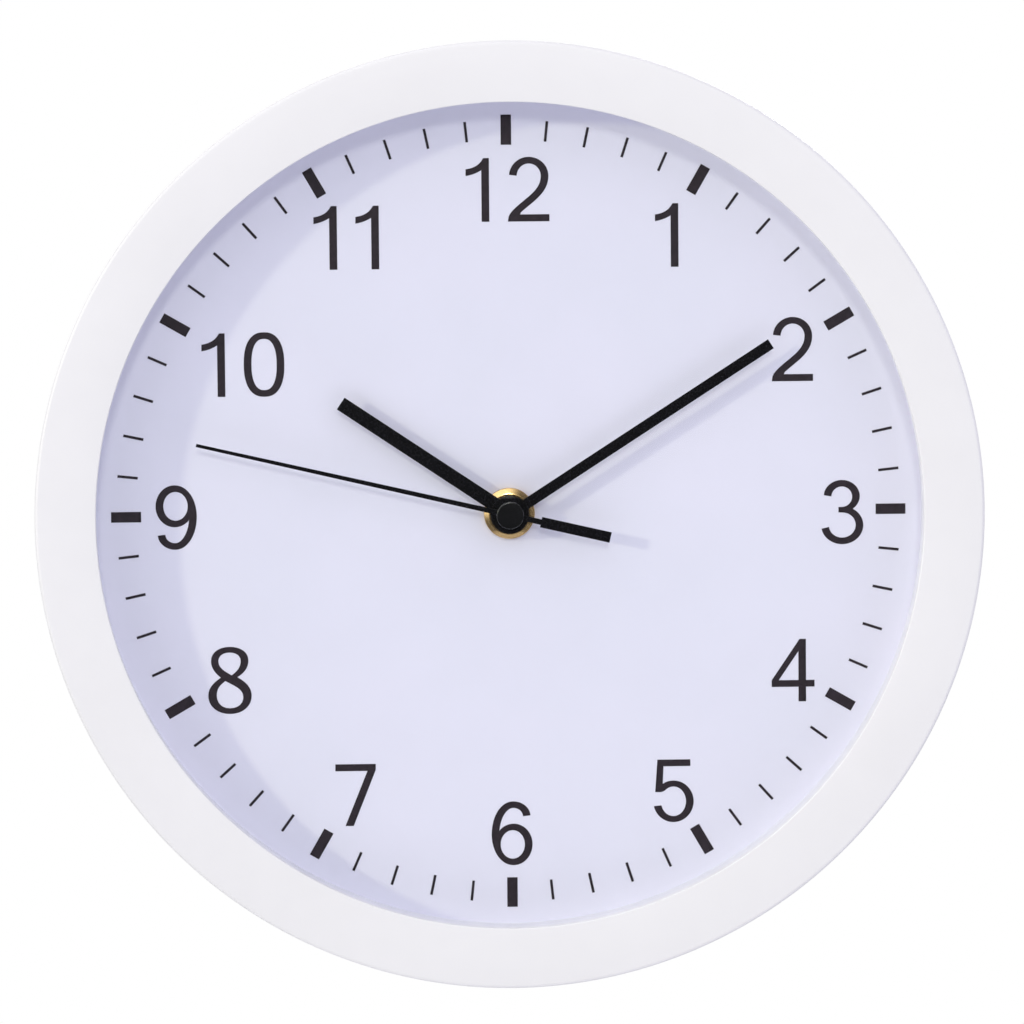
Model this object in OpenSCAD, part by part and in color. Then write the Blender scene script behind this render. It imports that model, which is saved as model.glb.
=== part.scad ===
// Round wall clock with a three-hand quartz movement. Millimetres.
// The origin is on the wall plane, on the axis of the hands. The clock faces -Y and +Z is up.
// Every sub-part is drawn lying down, with x to the right, y up and z towards the reader of the
// clock, and is then stood up by upright(). Heights called z are measured from the wall.

/* [Case] */
// Outer diameter of the case
case_d = 220; // [200:1:260]
// Depth from the wall to the crown of the bezel
case_depth = 38; // [38:0.5:44]
// Width of the bezel's face, from its outer edge to the lip round the glass
bezel_w = 14.1; // [12:0.1:16]
// Thickness of the glass
glass_t = 2; // [1.5:0.1:2.5]
// Height of the white ring between the glass and the dial
spacer_h = 9.2; // [9.2:0.1:9.6]

/* [Dial] */
// Distance from the lip in to the middle of the minute track
track_inset = 6.5; // [5:0.1:9]
// Length of an hour mark
hour_mark_l = 7; // [4:0.1:8]
// Width of an hour mark
hour_mark_w = 2.45; // [1:0.05:4]
// Length of a minute mark
minute_mark_l = 4.75; // [2:0.05:6]
// Width of a minute mark
minute_mark_w = 0.62; // [0.3:0.01:1.5]
// Height of the numerals
digit_h = 14.9; // [10:0.1:17]
// Distance from the minute track in to the ring that the numerals stand on
numeral_inset = 13.4; // [12:0.1:18]

/* [Hands] */
// Length of the hour hand from the axis
hour_hand_l = 47.1; // [30:0.1:60]
// Width of the hour hand
hour_hand_w = 3.3; // [2:0.1:6]
// Length of the minute hand from the axis
minute_hand_l = 72.6; // [50:0.1:80]
// Width of the minute hand
minute_hand_w = 2.5; // [1.5:0.01:5]
// Length of the second hand from the axis
second_hand_l = 74.7; // [50:0.1:80]
// Length of the second hand's tail from the axis
tail_l = 24; // [15:0.1:30]
// Clockwise angle of the hour hand from the twelve
hour_angle = 303.9; // [0:0.1:360]
// Clockwise angle of the minute hand from the twelve
minute_angle = 57.3; // [0:0.1:360]
// Clockwise angle of the second hand from the twelve
second_angle = 283.2; // [0:0.1:360]

/* [Movement] */
// Side of the square movement case
movement_w = 56; // [56:0.5:58]
// Diameter of the cell
cell_d = 14.1; // [13.5:0.1:14.5]
// Diameter of the round nut on the front of the dial
nut_d = 11.9; // [11:0.1:14]
// Diameter of the setting knob
knob_d = 14; // [10:0.5:15]

/* [Hidden] */
$fn = 96;

// Case, radii
case_r = case_d / 2;
lip_r = case_r - bezel_w;
wall_in = case_r - 3.5;
rear_out = case_r - 1.2;
crown_r = case_r - 7;
spacer_in = lip_r + 0.8;
spacer_out = lip_r + 2.7;
boss_r = case_r - 6.8;
boss_count = 6;

// Case, heights
dome_drop = 0.15;
dome_half = 6;
edge_round = 0.9;
edge_tilt = 84;
lip_round = 0.25;
glass_front = case_depth - 2.8;
glass_back = glass_front - glass_t;
dial_front = glass_back - spacer_h;
sheet_t = 0.3;
plate_front = dial_front - sheet_t;
plate_t = 1.7;
plate_back = plate_front - plate_t;
washer_t = 1;
ink_t = 0.05;

// Dial
track_r = lip_r - track_inset;
numeral_r = track_r - numeral_inset;
digit_u = digit_h / 100;

// Movement, heights
works_front = plate_back - washer_t;
works_t = 15.5;
works_back = works_front - works_t;
skin = 1.2;
lid_top = works_back + skin;
roof = works_front - skin;
tray_y = -10.5;

// Movement, places of the arbors. The second, third and intermediate wheels lie round the axis.
centre_at = [0, 0];
minute_wheel_at = [-7.2, 0];
knob_at = minute_wheel_at + 7.2 * [-cos(30), sin(30)];
third_at = 10.2 * [cos(60), sin(60)];
intermediate_at = 7.2 * [cos(-25), sin(-25)];
rotor_at = intermediate_at + 7 * [cos(-10), sin(-10)];

// Movement, fits
arbor_r = 0.5;
pivot_r = 0.4;
post_r = 0.6;
run = 0.05;
pipe_r = 1.6;
hour_pipe_r = 2.5;
collar_r = 2.1;
stem_r = 1.2;
bush_r = 3.85;

// Movement, layers of the train above the back of the movement
pivot_z = works_back + 0.7;
rotor_z = works_back + 5.7;
intermediate_z = works_back + 5.9;
second_z = works_back + 4.1;
second_pinion_z = works_back + 7.1;
third_z = works_back + 7.3;
third_pinion_z = works_back + 8.9;
centre_z = works_back + 9.1;
bridge_z = works_back + 10.5;
bridge_t = 0.6;
cannon_z = works_back + 11.3;
minute_wheel_z = works_back + 11.4;
hour_wheel_z = works_back + 12.8;
magnet_z = works_back + 2.9;
stator_z = works_back + 3.7;
core_z = stator_z + 1;
board_z = works_back + 6.5;

// Hands, heights
hand_t = 0.4;
hour_hand_z = dial_front + 3.6;
minute_hand_z = dial_front + 5;
second_hand_z = dial_front + 6.4;
boss_hand_r = 4.45;
cap_r = 3.2;

// Coil, cell and contacts
coil_x = 22.8;
coil_z = core_z + 0.5;
coil_y = [-4, 15];
core_y = [-9, 19];
cell_r = cell_d / 2;
cell_y = (tray_y - skin - movement_w / 2 + skin) / 2;
cell_z = works_back + cell_r;
cell_x = [-24.2, 25.2];
leaf_t = 0.3;
strip_z = works_back + 9.5;
leaf_x = movement_w / 2 - skin - 0.2;

// Gears: pressure angle, profile shift in modules, and what each tooth is thinned by for backlash.
// The small gear of a pair is shifted out and the large one in, so that eight teeth aren't undercut.
PRESSURE = 20;
SHIFT = 0.5;
THIN = 0.045;

// ---- Outlines

function reversed(list) = [for (i = [len(list) - 1 : -1 : 0]) list[i]];

// Points on an ellipse of radii r about c, from angle a to angle b
function arc(c, r, a, b, step = 7.5) =
    let (n = ceil(abs(b - a) / step))
    [for (i = [0 : n]) let (t = a + (b - a) * i / n) [c.x + r.x * cos(t), c.y + r.y * sin(t)]];

// Points on a cubic curve after its first point
function curve(p, q, s, e, n = 8) =
    [for (i = [1 : n]) let (t = i / n, u = 1 - t)
        u * u * u * p + 3 * u * u * t * q + 3 * u * t * t * s + t * t * t * e];

// Points on a superellipse of radii r about c
function squarish(c, r, power = 2.4, step = 7.5) =
    [for (a = [0 : step : 360 - step])
        [c.x + r.x * sign(cos(a)) * pow(abs(cos(a)), 2 / power),
         c.y + r.y * sign(sin(a)) * pow(abs(sin(a)), 2 / power)]];

// Corners of a rectangle with rounded corners, centred on the origin
function rounded(w, h, r) =
    concat(
        arc([w / 2 - r, h / 2 - r], [r, r], 0, 90, 15),
        arc([r - w / 2, h / 2 - r], [r, r], 90, 180, 15),
        arc([r - w / 2, r - h / 2], [r, r], 180, 270, 15),
        arc([w / 2 - r, r - h / 2], [r, r], 270, 360, 15));

// The places in a list of points that starts at a given place in a longer one
function places(list, start = 0) = [for (i = [0 : len(list) - 1]) start + i];

// An outline with holes in it
module pierced(outline, hole, second_hole = []) {
    far = len(outline) + len(hole);
    polygon(
        concat(outline, hole, second_hole),
        concat([places(outline)], [places(hole, len(outline))],
            len(second_hole) > 0 ? [places(second_hole, far)] : []));
}

// ---- Placing

module upright() rotate([90, 0, 0]) children();
module slab(z, t) translate([0, 0, z]) linear_extrude(t) children();
module place(at) translate([at.x, at.y, 0]) children();
module rod(z, t, r) translate([0, 0, z]) cylinder(h = t, r = r);
module block(low, high) translate(low) cube(high - low);
module around(count, r, from = 0)
    for (i = [0 : count - 1]) rotate([0, 0, from + i * 360 / count]) translate([r, 0, 0]) children();
module clock_turn(angle) rotate([0, 0, -angle]) children();

// ---- Gears

function involute(a) = tan(a) - a * PI / 180;
function root_r(n, m, small) = m * (n / 2 - 1.25 + (small ? SHIFT : -SHIFT));
function tip_r(n, m, small) = m * (n / 2 + (small ? 0.8 + SHIFT : 1 - SHIFT));
function base_r(n, m) = m * n / 2 * cos(PRESSURE);

// Half the angle that a tooth takes at radius r
function half_tooth(r, n, m, small) =
    let (
        thick = m * (PI / 2 + (small ? 2 : -2) * SHIFT * tan(PRESSURE)) - THIN,
        a = acos(min(1, base_r(n, m) / r)))
    (thick / (m * n) + involute(PRESSURE) - involute(a)) * 180 / PI;

function flank_radii(n, m, small) =
    let (low = root_r(n, m, small), base = base_r(n, m), high = tip_r(n, m, small))
    base > low
        ? [low, base, base + (high - base) * 0.3, base + (high - base) * 0.65, high]
        : [low, (low + high) / 2, high];

function gear_outline(n, m, small, phase) =
    let (radii = flank_radii(n, m, small))
    [for (i = [0 : n - 1], side = [-1, 1], r = side < 0 ? radii : reversed(radii))
        let (a = phase + i * 360 / n + side * half_tooth(max(r, base_r(n, m)), n, m, small))
        r * [cos(a), sin(a)]];

module gear(n, m, small = false, phase = 0) polygon(gear_outline(n, m, small, phase));

// Direction from one arbor to another
function toward(a, b) = atan2(b.y - a.y, b.x - a.x);

// Phase of a gear of nb teeth at b that meshes with one of na teeth and phase pa at a
function meshed(a, na, pa, b, nb) =
    let (t = toward(a, b)) t + 180 + ((t - pa) * na / 360 + 0.5) * 360 / nb;

TRAIN_M = 0.3;
ROTOR_M = 0.25;
CENTRE_M = 10.2 * 2 / 72;
HOUR_M = 7.2 * 2 / 50;
intermediate_phase = meshed(rotor_at, 8, 0, intermediate_at, 48);
second_phase = meshed(intermediate_at, 8, 0, centre_at, 40);
third_phase = meshed(centre_at, 8, 0, third_at, 60);
centre_phase = meshed(third_at, 8, 0, centre_at, 64);
minute_wheel_phase = meshed(centre_at, 12, 0, minute_wheel_at, 36);
knob_phase = meshed(minute_wheel_at, 36, minute_wheel_phase, knob_at, 12);
hour_phase = meshed(minute_wheel_at, 10, 0, centre_at, 40);

// ---- Numerals, in units of a hundredth of their height

STEM = 12;
BAR = 10.4;
DIGIT_STEP = 65.5;
DIGIT_W = [64, 36.5, 65, 64, 67.6, 65, 64, 63.5, 68, 64];
DIGIT_MIDDLE = [50, 50, 50, 50, 50, 49, 50, 49, 53, 51];

function tangent(path, i) =
    let (d = path[min(i + 1, len(path) - 1)] - path[max(i - 1, 0)]) d / norm(d);

// One edge of a pen stroke: upright stretches are as wide as a stem, level ones as a bar
function edge(path, side) =
    [for (i = [0 : len(path) - 1])
        let (t = tangent(path, i), w = (STEM * t.y * t.y + BAR * t.x * t.x) / 2)
        path[i] + side * w * [-t.y, t.x]];

module digit_0() {
    c = [DIGIT_W[0] / 2, 50];
    middle = [25.7, 45.3];
    pierced(
        squarish(c, middle + [STEM, BAR] / 2),
        squarish(c, middle - [STEM, BAR] / 2));
}

module digit_1() {
    polygon(concat(
        [[24.5, 0], [36.5, 0], [36.5, 99.3], [27.5, 99.3]],
        curve([27.5, 99.3], [22.5, 89], [13, 83.5], [0, 82], 6),
        [[0, 71.5]],
        curve([0, 71.5], [9, 73], [18, 76], [24.5, 80.5], 5)));
}

module digit_2() {
    bowl = [33.1, 70.8];
    path = concat(
        arc(bowl, [24.8, 24.7], 177, 0),
        curve([57.9, 70.8], [57.9, 54], [47, 43], [32, 31]),
        curve([32, 31], [17, 19], [8.5, 12], [6.5, 5.2], 5));
    polygon(concat(
        [for (p = edge(path, 1)) if (p.y > 12) p],
        [[19, 11], [65, 11], [65, 0], [0, 0]],
        reversed(edge(path, -1))));
}

module digit_3() {
    polygon(concat(
        arc([30.4, 75.3], [28.4, 25.4], 176, -52.7),
        arc([31, 29.3], [33.2, 29.9], 59.6, -170),
        arc([31, 29.6], [21.2, 19.8], -172, 90),
        [[25.2, 49.5], [25.2, 58.2]],
        arc([30.4, 74.3], [16.4, 16.1], -90, 178)));
}

module digit_4() {
    pierced(
        [[54.2, 98.9], [44.2, 98.9], [0, 33.8], [0, 23.2], [42.3, 23.2], [42.3, 0], [54.2, 0],
            [54.2, 23.2], [67.6, 23.2], [67.6, 33.8], [54.2, 33.8]],
        [[42.3, 79.5], [11.2, 33.8], [42.3, 33.8]]);
}

module digit_5() {
    bowl = [32.4, 32.2];
    polygon(concat(
        [[59.4, 98.6], [59.4, 88], [17, 88], [15.6, 59.8]],
        arc(bowl, [31.9, 33], 121, -167),
        arc(bowl, [19.8, 23.5], -165, 132),
        [[13.7, 47.1], [3.7, 47.1], [7.4, 98.6]]));
}

module digit_6() {
    tail = concat(
        arc([34, 77], [21.5, 18.6], 2, 82),
        arc([34, 48], [28, 47.6], 90, 172));
    bowl = concat(
        arc([34, 48], [28, 43.3], 180, 262),
        arc([34.5, 33], [23.8, 28.3], 270, 352),
        arc([34.5, 33], [23.8, 27.2], 0, 137));
    pierced(
        concat(edge(concat(tail, bowl), -1), reversed(edge(tail, 1))),
        arc([33.1, 32.5], [19.1, 22.6], 0, 352.5));
}

module digit_7() {
    polygon([[0, 97.9], [63.5, 97.9], [63.5, 88.5], [28, 0], [15, 0], [50.5, 87], [0, 87]]);
}

module digit_8() {
    middle = DIGIT_W[8] / 2;
    pierced(
        concat(
            curve([45.8, 58], [57, 64.5], [63.5, 73], [63.5, 84.5]),
            curve([63.5, 84.5], [63.5, 97.5], [51.5, 106], [middle, 106]),
            curve([middle, 106], [17, 106], [4.8, 97], [4.8, 83.5]),
            curve([4.8, 83.5], [4.8, 73], [11, 64.5], [20, 57.5]),
            curve([20, 57.5], [6, 48.5], [0, 40], [0, 28.5]),
            curve([0, 28.5], [0, 12], [14, 0], [middle, 0]),
            curve([middle, 0], [54, 0], [68, 12], [68, 28.5]),
            curve([68, 28.5], [68, 41], [60, 50], [45.8, 58])),
        concat(
            curve([37, 61], [46, 67.5], [51.4, 74], [51.4, 83.5], 6),
            curve([51.4, 83.5], [51.4, 92], [44, 97], [middle, 97], 6),
            curve([middle, 97], [24, 97], [16.4, 92], [16.4, 83.5], 6),
            curve([16.4, 83.5], [16.4, 73], [25, 68], [37, 61], 6)),
        concat(
            curve([27, 52], [17, 45.5], [13.2, 38.5], [13.2, 29], 6),
            curve([13.2, 29], [13.2, 16.5], [22, 9], [middle, 9], 6),
            curve([middle, 9], [47, 9], [54.8, 16.5], [54.8, 26.5], 6),
            curve([54.8, 26.5], [54.8, 38.5], [44, 43], [27, 52], 6)));
}

module digit_9() {
    translate([DIGIT_W[9], 101.7]) rotate(180) digit_6();
}

module digit(d) {
    if (d == 0) digit_0();
    if (d == 1) digit_1();
    if (d == 2) digit_2();
    if (d == 3) digit_3();
    if (d == 4) digit_4();
    if (d == 5) digit_5();
    if (d == 6) digit_6();
    if (d == 7) digit_7();
    if (d == 8) digit_8();
    if (d == 9) digit_9();
}

// How far each numeral stands in or out of the numeral ring, and round it, from the twelve on
NUMERAL_OUT = [-0.5, -1.4, 0.4, 2.2, 0.3, 0.1, -0.5, -0.6, 0.2, 1.7, -4.9, -1.3];
NUMERAL_TURN = [0.2, 0, 0.5, 0.5, -0.4, 0, 0, -1, -0.4, -0.2, -0.2, 0];

module numeral(hour) {
    tens = hour > 9 ? 1 : 0;
    last = hour % 10;
    width = tens * DIGIT_STEP + DIGIT_W[last];
    r = numeral_r + NUMERAL_OUT[hour % 12];
    a = hour * 30 + NUMERAL_TURN[hour % 12];
    translate([r * sin(a), r * cos(a)])
        scale(digit_u)
            translate([-width / 2, -DIGIT_MIDDLE[last]]) {
                if (tens == 1) digit(1);
                translate([tens * DIGIT_STEP, 0]) digit(last);
            }
}

// ---- Case

function dome_z(r) = case_depth - dome_drop * pow((r - crown_r) / dome_half, 2);

edge_top_r = case_r - edge_round * (1 - cos(edge_tilt));
edge_c = [case_r - edge_round, dome_z(edge_top_r) - edge_round * sin(edge_tilt)];
lip_top_r = lip_r + lip_round * 0.86;
lip_c = [lip_r + lip_round, dome_z(lip_top_r) - lip_round];

bezel_profile = concat(
    [[wall_in, 0], [rear_out, 0]],
    arc(edge_c, [edge_round, edge_round], 0, edge_tilt),
    [for (i = [1 : 23]) let (r = edge_top_r + (lip_top_r - edge_top_r) * i / 24) [r, dome_z(r)]],
    arc(lip_c, [lip_round, lip_round], 98, 180, 14),
    [[lip_r, glass_front], [wall_in, glass_front]]);

module bezel_frame() {
    color("#ecebf0") upright() difference() {
        union() {
            rotate_extrude() polygon(bezel_profile);
            around(boss_count, boss_r, 30) {
                rod(plate_front, glass_back - 0.3 - plate_front, 3.2);
                block([0, -1.2, plate_front], [4.5, 1.2, glass_back - 0.3]);
            }
        }
        around(boss_count, boss_r, 30) rod(plate_front - 1, 8.5, 1.25);
    }
}

module glass_lens() {
    color("#dfe8ee", 0.3) upright() rod(glass_back, glass_t, wall_in - 0.3);
}

module spacer_ring() {
    color("#f2f1f6") upright() difference() {
        rod(dial_front, spacer_h, spacer_out);
        rod(dial_front - 1, spacer_h + 2, spacer_in);
    }
}

module dial_sheet() {
    color("#e9e8f4") upright() difference() {
        rod(plate_front, sheet_t, boss_r - 3.4);
        rod(plate_front - 1, sheet_t + 2, bush_r + 0.25);
    }
}

module hour_numerals() {
    color("#2a2826") upright() for (hour = [1 : 12]) slab(dial_front, ink_t) numeral(hour);
}

module hour_marks() {
    color("#2a2826") upright()
        around(12, track_r) slab(dial_front, ink_t) square([hour_mark_l, hour_mark_w], center = true);
}

module minute_marks() {
    color("#2a2826") upright()
        for (i = [0 : 59])
            if (i % 5 != 0)
                rotate([0, 0, i * 6]) translate([track_r, 0, 0])
                    slab(dial_front, ink_t) square([minute_mark_l, minute_mark_w], center = true);
}

module back_plate() {
    rib_h = 3;
    rib_t = 1.6;
    pocket = movement_w + 0.6;
    color("#f4f4f4") upright() difference() {
        union() {
            rod(plate_back, plate_t, wall_in - 0.3);
            difference() {
                union() {
                    around(12, 0, 15)
                        block([20, -rib_t / 2, plate_back - rib_h], [boss_r - 6, rib_t / 2, plate_back + 1]);
                    difference() {
                        rod(plate_back - rib_h, rib_h + 1, boss_r - 5);
                        rod(plate_back - rib_h - 1, rib_h + 1, boss_r - 5 - rib_t);
                    }
                    slab(plate_back - rib_h, rib_h + 1)
                        polygon(rounded(pocket + 2 * rib_t, pocket + 2 * rib_t, 3));
                }
                slab(plate_back - rib_h - 1, rib_h + 1) polygon(rounded(pocket, pocket, 2.2));
            }
        }
        rod(plate_back - 1, plate_t + 2, bush_r + 0.25);
        around(boss_count, boss_r, 30) rod(plate_back - 1, plate_t + 2, 1.7);
    }
}

// A cross-head screw that points forward, with its head's seat at z
module screw(z, head_r, head_t, shank_r, shank_l) {
    slot_w = head_r * 0.28;
    difference() {
        union() {
            rod(z - head_t, head_t, head_r);
            rod(z, shank_l - shank_r, shank_r);
            translate([0, 0, z + shank_l - shank_r]) cylinder(h = shank_r, r1 = shank_r, r2 = 0.1);
        }
        for (a = [0, 90])
            rotate([0, 0, a])
                block([-head_r * 0.62, -slot_w / 2, z - head_t - 1],
                    [head_r * 0.62, slot_w / 2, z - head_t * 0.45]);
    }
}

module cover_screws() {
    color("#b9bcc0") upright() around(boss_count, boss_r, 30) screw(plate_back, 2.9, 1.7, 1.25, 8.5);
}

// ---- Movement case

hanger_at = [0, movement_w / 2 + 6.5];
hanger_r = 4;
hanger_slot = 4;
hanger_t = 2;
hanger_top = hanger_at.y + 5.5;
corner_posts = [[-15.8, 12.2], [-15.8, -7.8], [14.9, 12.2], [14.9, -8]];
stator_posts = [[16.8, 17.6], [17.8, -8.6]];
board_posts = [[-10, 23.3], [14, 23.3]];

module keyhole() {
    place(hanger_at) rod(lid_top - 1, hanger_t + 2, hanger_r);
    block([-hanger_slot / 2, hanger_at.y, lid_top - 1],
        [hanger_slot / 2, hanger_top, lid_top + hanger_t + 1]);
    place([0, hanger_top]) rod(lid_top - 1, hanger_t + 2, hanger_slot / 2);
}

module hanger_tab() {
    slab(lid_top, hanger_t)
        polygon(concat(
            [[-13, movement_w / 2 - skin], [13, movement_w / 2 - skin]],
            arc([4.6, hanger_top - 1.2], [5, 5], 20, 90, 14),
            arc([-4.6, hanger_top - 1.2], [5, 5], 90, 160, 14)));
    for (x = [-9.5, 8.3])
        translate([x, movement_w / 2 - 0.2, lid_top + hanger_t - 0.2])
            rotate([90, 0, 90]) linear_extrude(1.2) polygon([[0, 0], [6, 0], [0, 6]]);
}

module movement_front_shell() {
    half = movement_w / 2;
    inner = half - skin;
    color("#26272a") upright() difference() {
        union() {
            difference() {
                slab(works_back, works_t) polygon(rounded(movement_w, movement_w, 2));
                block([-inner, tray_y, works_back - 1], [inner, inner, roof]);
                block([-half - 1, tray_y, works_back - 1], [half + 1, half + 1, lid_top]);
                block([-inner, -inner, works_back - 1], [inner, tray_y - skin, roof]);
                for (side = [-1, 1])
                    translate([side * (inner - 0.4), tray_y - skin / 2, strip_z + 1])
                        cube([0.9, skin + 1, 2.6], center = true);
                block([-9, -half - 1, works_back - 1], [9, -inner + 1, works_back + 7]);
            }
            for (p = corner_posts)
                place(p) rod(bridge_z + bridge_t, roof + 0.2 - bridge_z - bridge_t, 1.7);
            for (p = stator_posts)
                place(p) rod(core_z, roof + 0.2 - core_z, 1.1);
            for (p = board_posts)
                place(p) rod(board_z + 0.8, roof + 0.2 - board_z - 0.8, 1.6);
            hanger_tab();
        }
        keyhole();
        rod(roof - 1, skin + 2, bush_r);
        rod(roof - 1, 1.7, bush_r + 1.35);
        place(minute_wheel_at) rod(roof - 1, 1.7, post_r);
        for (p = corner_posts) place(p) rod(bridge_z, 3.2, 0.6);
    }
}

module movement_rear_lid() {
    half = movement_w / 2;
    inner = half - skin;
    bearings = [centre_at, third_at, rotor_at];
    color("#2d2e31") upright() difference() {
        union() {
            intersection() {
                slab(works_back, skin) polygon(rounded(movement_w, movement_w, 2));
                block([-half, tray_y, works_back], [half, half, lid_top]);
            }
            for (p = bearings) place(p) rod(lid_top - 0.1, 1.1, 1.4);
            place(intermediate_at) rod(lid_top - 0.1, 2.3, 1.4);
            block([inner - 1.2, 16.5, lid_top - 0.1], [inner - 0.1, 19.5, lid_top + 4]);
            block([-inner + 0.1, 2, lid_top - 0.1], [-inner + 1.2, 6, lid_top + 4]);
        }
        for (p = bearings) place(p) rod(pivot_z - 0.1, 3, pivot_r + run);
        place(intermediate_at) rod(pivot_z - 0.1, 6, post_r);
        place(knob_at) rod(works_back - 1, skin + 2, stem_r + 0.15);
    }
}

module threaded_bushing() {
    color("#c2a04e") upright() difference() {
        union() {
            rod(roof, dial_front + 2.8 - roof, bush_r);
            rod(roof, 0.7, bush_r + 1.35);
        }
        rod(roof - 1, 12, hour_pipe_r + run);
    }
}

module rubber_washer() {
    color("#1d1d1e") upright() difference() {
        rod(works_front, washer_t, 7.5);
        rod(works_front - 1, washer_t + 2, bush_r + 0.15);
    }
}

module bushing_nut() {
    nut_r = nut_d / 2;
    color("#c9a257") upright()
        rotate_extrude()
            translate([0, dial_front])
                polygon([[bush_r, 0], [nut_r - 0.2, 0], [nut_r, 0.2], [nut_r, 1.3],
                    [nut_r - 0.85, 2.4], [bush_r + 0.25, 2.4], [bush_r, 2.15]]);
}

// ---- Movement works that stay still

module train_bridge() {
    color("#e6e2d8") upright() difference() {
        slab(bridge_z, bridge_t) translate([-0.5, 2.2]) polygon(rounded(34, 23.4, 2.5));
        place(centre_at) rod(bridge_z - 1, 3, collar_r + run);
        place(third_at) rod(bridge_z - 1, 3, pivot_r + run);
        place(rotor_at) rod(bridge_z - 1, 3, pivot_r + run);
        place(knob_at) rod(bridge_z - 1, 3, stem_r + run);
        place(minute_wheel_at) rod(bridge_z - 1, 3, post_r);
        for (p = corner_posts) place(p) rod(bridge_z - 1, 3, 0.7);
    }
}

module bridge_screws() {
    color("#b9bcc0") upright() for (p = corner_posts) place(p) screw(bridge_z, 1.4, 0.8, 0.6, 3.1);
}

module intermediate_post() {
    color("#9aa0a6") upright() place(intermediate_at) rod(pivot_z, 6.3, post_r);
}

module minute_wheel_post() {
    color("#9aa0a6") upright() place(minute_wheel_at) rod(bridge_z, roof + 0.7 - bridge_z, post_r);
}

module stator_plate() {
    color("#8f959c") upright() slab(stator_z, 1) difference() {
        union() {
            translate(rotor_at) circle(r = 5.1);
            translate([rotor_at.x, core_y[0] - 0.8]) square([25 - rotor_at.x, 4.4]);
            translate([14.4, rotor_at.y + 2]) square([4.2, core_y[1] + 0.6 - rotor_at.y - 2]);
            translate([14.4, core_y[1] - 3.6]) square([10.6, 4.2]);
        }
        translate(rotor_at) circle(r = 3.6);
    }
}

module coil_core() {
    color("#8f959c") upright()
        block([coil_x - 1, core_y[0], core_z], [coil_x + 1, core_y[1], core_z + 1]);
}

// A cylinder along y between two heights, on the coil's axis
module along_coil(y0, y1, r)
    translate([coil_x, y0, coil_z]) rotate([-90, 0, 0]) cylinder(h = y1 - y0, r = r);

module coil_bobbin() {
    color("#f0ead8") upright() difference() {
        union() {
            along_coil(coil_y[0], coil_y[1], 1.7);
            along_coil(coil_y[0], coil_y[0] + 1, 3.5);
            along_coil(coil_y[1] - 1, coil_y[1], 3.5);
        }
        block([coil_x - 1, coil_y[0] - 1, core_z], [coil_x + 1, coil_y[1] + 1, core_z + 1]);
    }
}

module coil_winding() {
    color("#b3672e") upright() difference() {
        along_coil(coil_y[0] + 1, coil_y[1] - 1, 3.1);
        along_coil(coil_y[0], coil_y[1], 1.7);
    }
}

module coil_leads() {
    color("#b3672e") upright()
        for (x = [-1.4, 1.4])
            translate([coil_x + x, coil_y[1], board_z + 0.4])
                rotate([-90, 0, 0]) cylinder(h = 5.2, r = 0.1);
}

module circuit_board() {
    color("#2f6b3c") upright()
        block([-20, coil_y[1] + 5.2, board_z], [26, coil_y[1] + 11.2, board_z + 0.8]);
}

module chip_blob() {
    color("#161616") upright()
        translate([4, coil_y[1] + 8.2, board_z])
            rotate([180, 0, 0])
                rotate_extrude() polygon(concat([[0, 0]], arc([0, 0], [3.2, 0.9], 0, 90, 10)));
}

module crystal_can() {
    color("#c3c6c9") upright() {
        translate([-13, coil_y[1] + 8.2, board_z - 1.05]) rotate([0, 90, 0]) cylinder(h = 6, r = 1);
        for (y = [-0.4, 0.4])
            translate([-7, coil_y[1] + 8.2 + y, board_z - 1.05])
                rotate([0, 90, 0]) cylinder(h = 2, r = 0.12);
    }
}

// The plate behind one end of the cell, its strip past the works and its foot on the board.
// It is drawn at the right-hand end.
module contact_strip(foot_x) {
    outer = leaf_x + leaf_t / 2;
    board_y = coil_y[1] + 6;
    block([leaf_x - leaf_t / 2, cell_y - 3.5, cell_z - 4.5], [outer, cell_y + 3.5, cell_z + 4.5]);
    block([leaf_x - leaf_t / 2, cell_y + 3, strip_z], [outer, board_y + 3, strip_z + 2]);
    block([leaf_x - leaf_t / 2, board_y, board_z + 0.8], [outer, board_y + 3, strip_z + 1]);
    block([foot_x, board_y, board_z + 0.8], [outer, board_y + 3, board_z + 0.8 + leaf_t]);
}

module positive_contact() {
    color("#c8cacc") upright() contact_strip(24.6);
}

// The spring tongue is a bow in the plane of x and z
module negative_contact() {
    bow = 1.85;
    path = [for (i = [0 : 16]) let (t = i / 16) [-bow * pow(sin(t * 180), 2), cell_z - 4.5 + 9 * t]];
    outline = concat(path, [for (p = reversed(path)) p + [leaf_t, 0]]);
    color("#c8cacc") upright() mirror([1, 0, 0]) {
        contact_strip(18.4);
        translate([leaf_x - leaf_t * 1.5, cell_y + 2.2, 0])
            rotate([90, 0, 0]) linear_extrude(4.4) polygon(outline);
    }
}

// ---- Cell

module battery_cell() {
    color("#c9ccd1") upright()
        translate([cell_x[0], cell_y, cell_z])
            rotate([0, 90, 0])
                rotate_extrude()
                    polygon([[0, 0], [cell_r - 0.9, 0], [cell_r - 0.3, 0.25], [cell_r, 0.9],
                        [cell_r, cell_x[1] - cell_x[0] - 0.8],
                        [cell_r - 0.6, cell_x[1] - cell_x[0]], [0, cell_x[1] - cell_x[0]]]);
}

module battery_cap() {
    color("#d9dadc") upright()
        translate([cell_x[1], cell_y, cell_z])
            rotate([0, 90, 0])
                rotate_extrude() polygon([[0, 0], [2.75, 0], [2.75, 0.8], [2.5, 1], [0, 1]]);
}

// ---- Stepping rotor and the wheels down to the second arbor

// A bare arbor with a pivot at each end
module arbor(front) {
    rod(pivot_z, 1.7, pivot_r);
    rod(pivot_z + 1.6, front - pivot_z - 1.6, arbor_r);
}

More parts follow.
